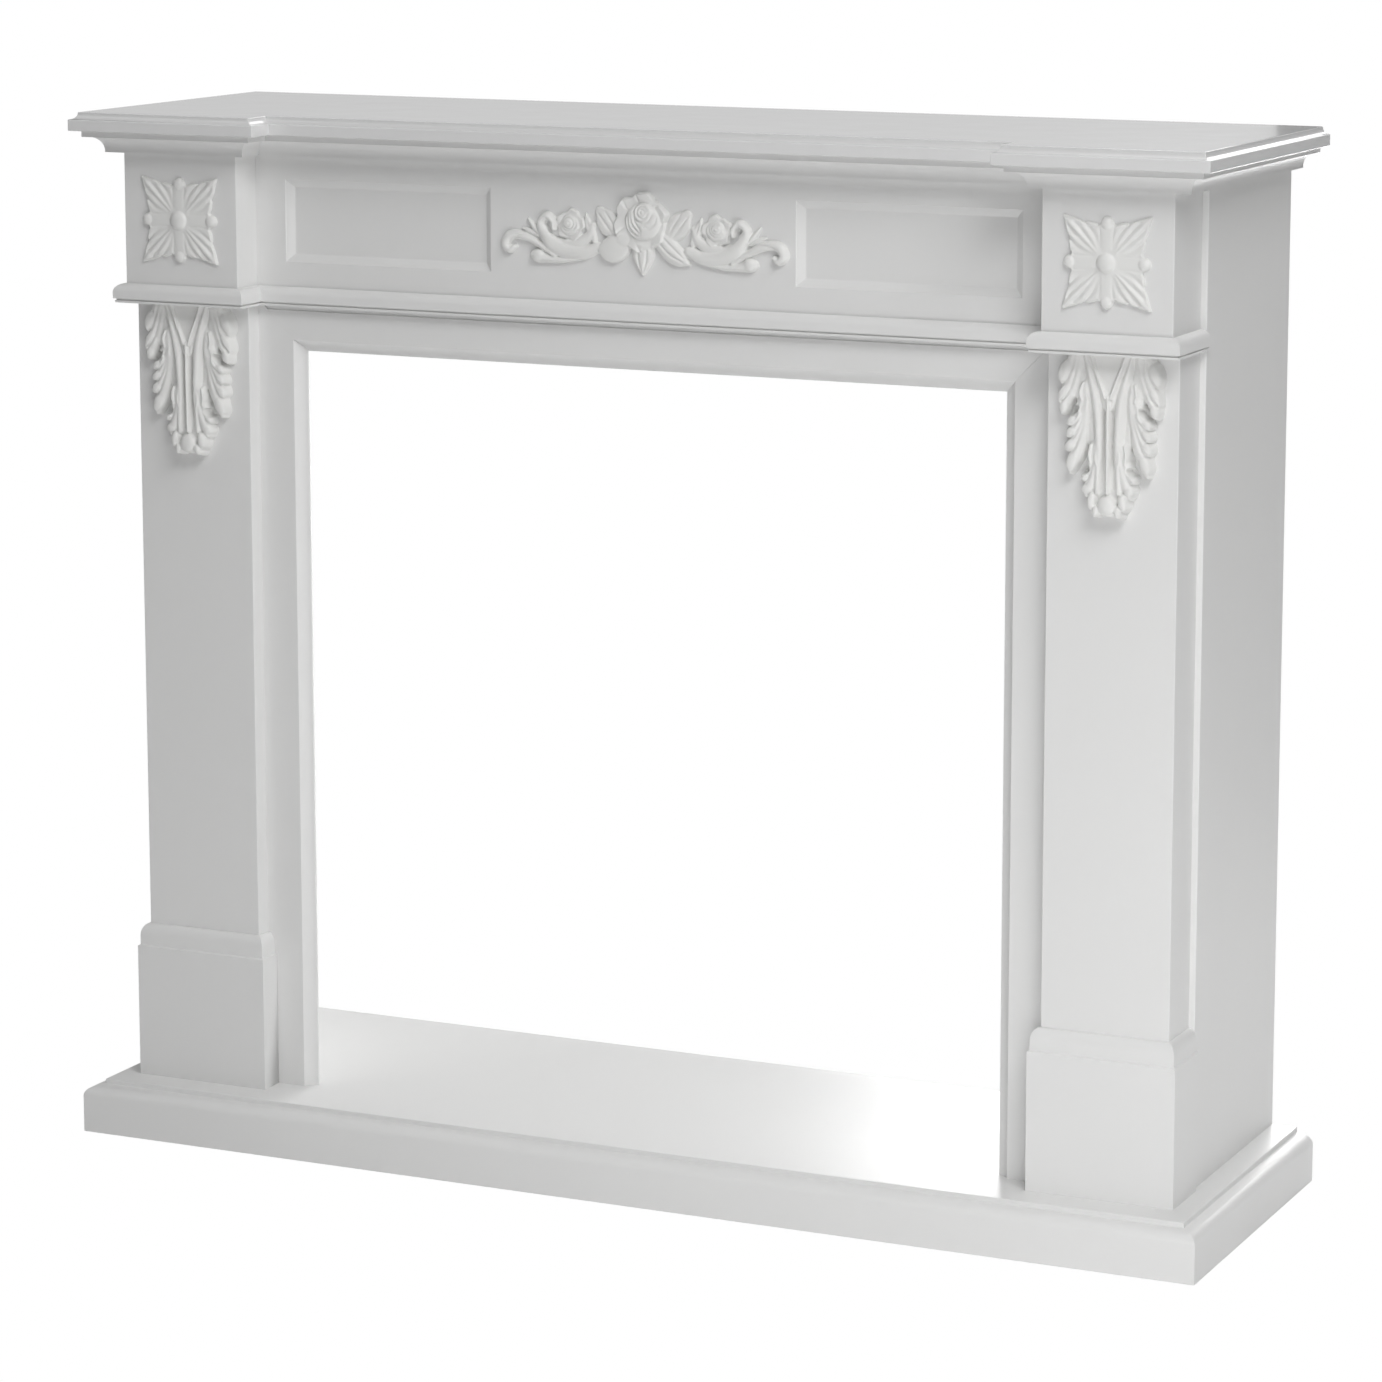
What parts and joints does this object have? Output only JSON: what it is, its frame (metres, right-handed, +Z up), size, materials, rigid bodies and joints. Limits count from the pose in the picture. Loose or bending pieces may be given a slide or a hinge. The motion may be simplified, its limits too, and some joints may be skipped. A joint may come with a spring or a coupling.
{
  "type": "fireplace mantelpiece",
  "caption": "White painted fire surround with a moulded plinth, pilasters, leaf corbels, corner rosettes, a rose swag on the frieze and a breakfront shelf, open at the back.",
  "frame": {"origin": "bottom centre of the whole piece, on the floor, midway between the front and the wall line", "axes": "+X to the right seen from the front, +Y back towards the wall, +Z up; the front faces -Y"},
  "size_m": [1.15, 0.344, 1],
  "materials": {
    "board_white": "satin white lacquer on fibreboard",
    "shelf_white": "smoother white lacquer on fibreboard",
    "ornament_white": "cast ornament painted satin white"
  },
  "bodies": {
    "root": {"base_plinth": "board_white", "hearth_panel": "board_white", "side_panel_left": "board_white", "side_panel_right": "board_white", "foot_block_left": "board_white", "foot_block_right": "board_white", "pilaster_shaft_left": "board_white", "pilaster_shaft_right": "board_white", "capital_block_left": "board_white", "capital_block_right": "board_white", "frieze_board": "board_white", "mid_moulding": "board_white", "bed_cove": "board_white", "mantel_shelf": "shelf_white", "frame_stile_left": "board_white", "frame_stile_right": "board_white", "frame_head": "board_white", "rosette_left": "ornament_white", "rosette_right": "ornament_white", "corbel_left": "ornament_white", "corbel_right": "ornament_white", "rose_swag": "ornament_white"}
  },
  "joints": []
}
